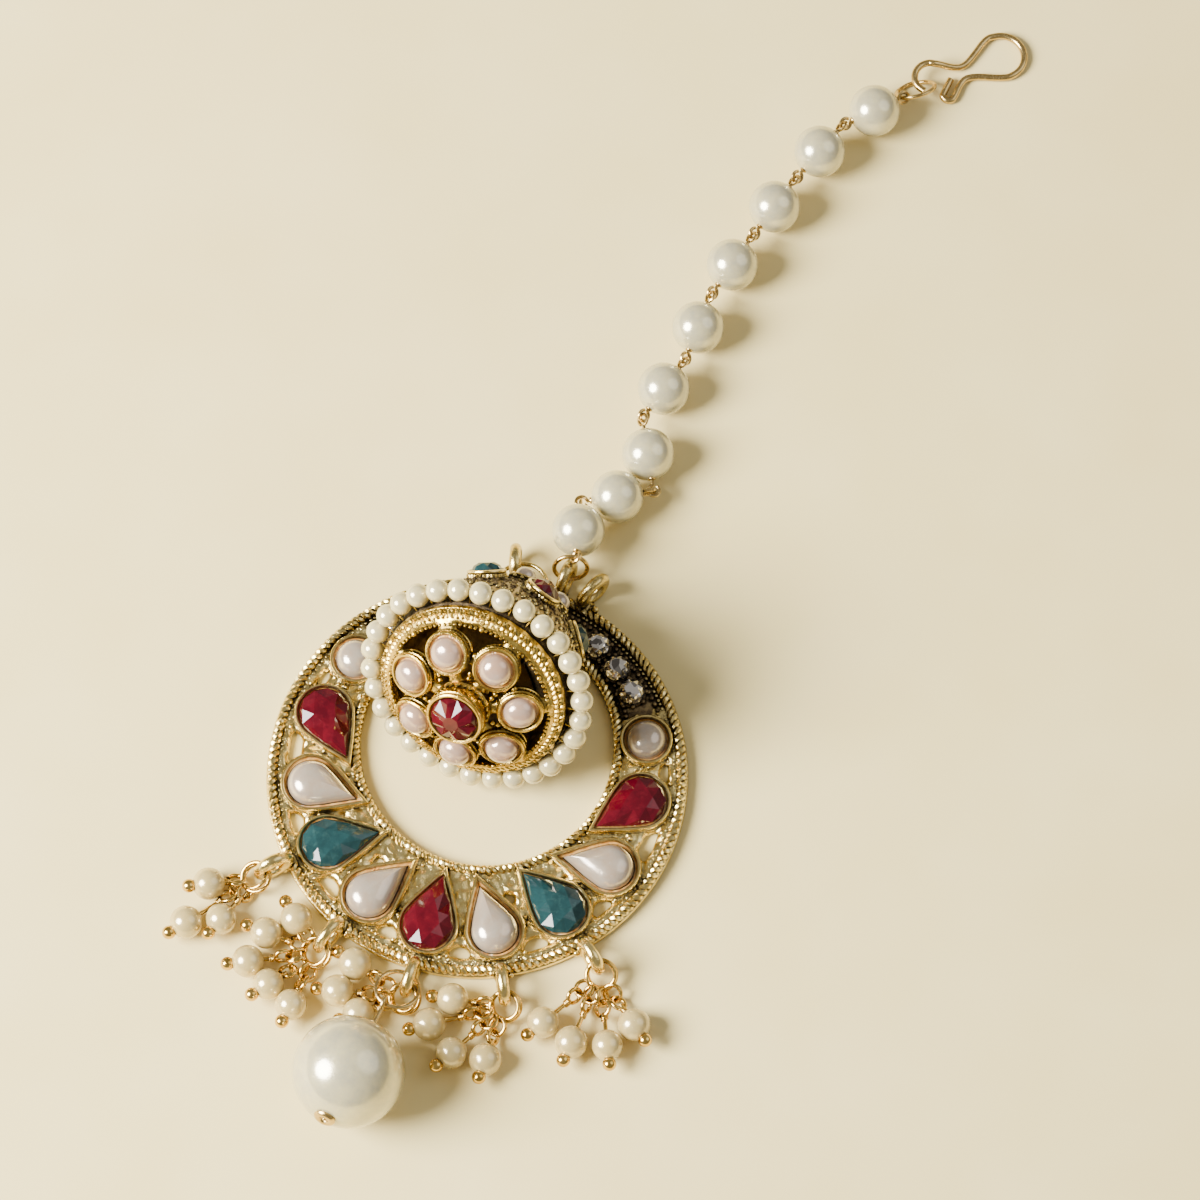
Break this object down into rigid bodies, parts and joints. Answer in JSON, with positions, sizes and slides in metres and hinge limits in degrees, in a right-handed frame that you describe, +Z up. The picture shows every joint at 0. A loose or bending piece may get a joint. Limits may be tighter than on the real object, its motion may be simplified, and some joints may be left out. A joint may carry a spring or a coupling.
{
  "type": "maang tikka",
  "caption": "Hair ornament with a pearl chain on a wire hook, a jewelled openwork crescent, a bell drop and small pearl fringes, shown lying flat.",
  "frame": {"origin": "middle of the whole object's footprint as it lies, on the surface it rests on", "axes": "+Y along the crescent's axis towards the hook, +Z up out of the surface, +X to the right as seen from above"},
  "size_m": [0.0622, 0.1482, 0.0234],
  "materials": {
    "antique_gold": "pale antique gold plate, dark in the recesses",
    "wire_brass": "drawn brass wire, dull gold",
    "ivory_pearl": "ivory imitation pearl with a soft nacre gloss",
    "lilac_pearl": "grey-lilac pearl cabochon, glossy",
    "ruby_glass": "faceted crimson glass, foiled behind",
    "teal_glass": "faceted teal glass, foiled behind",
    "smoky_crystal": "small round mirrored crystals, smoky grey"
  },
  "bodies": {
    "root": {"crescent_frame": "antique_gold", "jhumka_dome": "antique_gold", "jhumka_base": "antique_gold", "jhumka_ring": "antique_gold", "hair_hook": "wire_brass", "hook_ring": "wire_brass", "top_ring": "wire_brass", "drop_ring": "wire_brass", "drop_pin": "wire_brass", "chain_pin_1": "wire_brass", "chain_pin_2": "wire_brass", "chain_pin_3": "wire_brass", "chain_pin_4": "wire_brass", "chain_pin_5": "wire_brass", "chain_pin_6": "wire_brass", "chain_pin_7": "wire_brass", "chain_pin_8": "wire_brass", "chain_pin_9": "wire_brass", "chain_pearl_1": "ivory_pearl", "chain_pearl_2": "ivory_pearl", "chain_pearl_3": "ivory_pearl", "chain_pearl_4": "ivory_pearl", "chain_pearl_5": "ivory_pearl", "chain_pearl_6": "ivory_pearl", "chain_pearl_7": "ivory_pearl", "chain_pearl_8": "ivory_pearl", "chain_pearl_9": "ivory_pearl", "jhumka_seed_pearls": "ivory_pearl", "drop_pearl": "ivory_pearl", "pearl_cluster_1": "ivory_pearl", "pearl_cluster_2": "ivory_pearl", "pearl_cluster_3": "ivory_pearl", "pearl_cluster_4": "ivory_pearl", "pearl_cluster_5": "ivory_pearl", "base_pearl_1": "lilac_pearl", "base_pearl_2": "lilac_pearl", "base_pearl_3": "lilac_pearl", "base_pearl_4": "lilac_pearl", "base_pearl_5": "lilac_pearl", "base_pearl_6": "lilac_pearl", "base_pearl_7": "lilac_pearl", "pearl_tear_low_left": "lilac_pearl", "pearl_tear_high_left": "lilac_pearl", "round_pearl_left": "lilac_pearl", "green_tear_left": "teal_glass", "ruby_tear_left": "ruby_glass", "crystal_left_1": "smoky_crystal", "crystal_left_2": "smoky_crystal", "crystal_left_3": "smoky_crystal", "pearl_tear_low_right": "lilac_pearl", "pearl_tear_high_right": "lilac_pearl", "round_pearl_right": "lilac_pearl", "green_tear_right": "teal_glass", "ruby_tear_right": "ruby_glass", "crystal_right_1": "smoky_crystal", "crystal_right_2": "smoky_crystal", "crystal_right_3": "smoky_crystal", "ruby_centre": "ruby_glass", "base_ruby": "ruby_glass"}
  },
  "joints": []
}
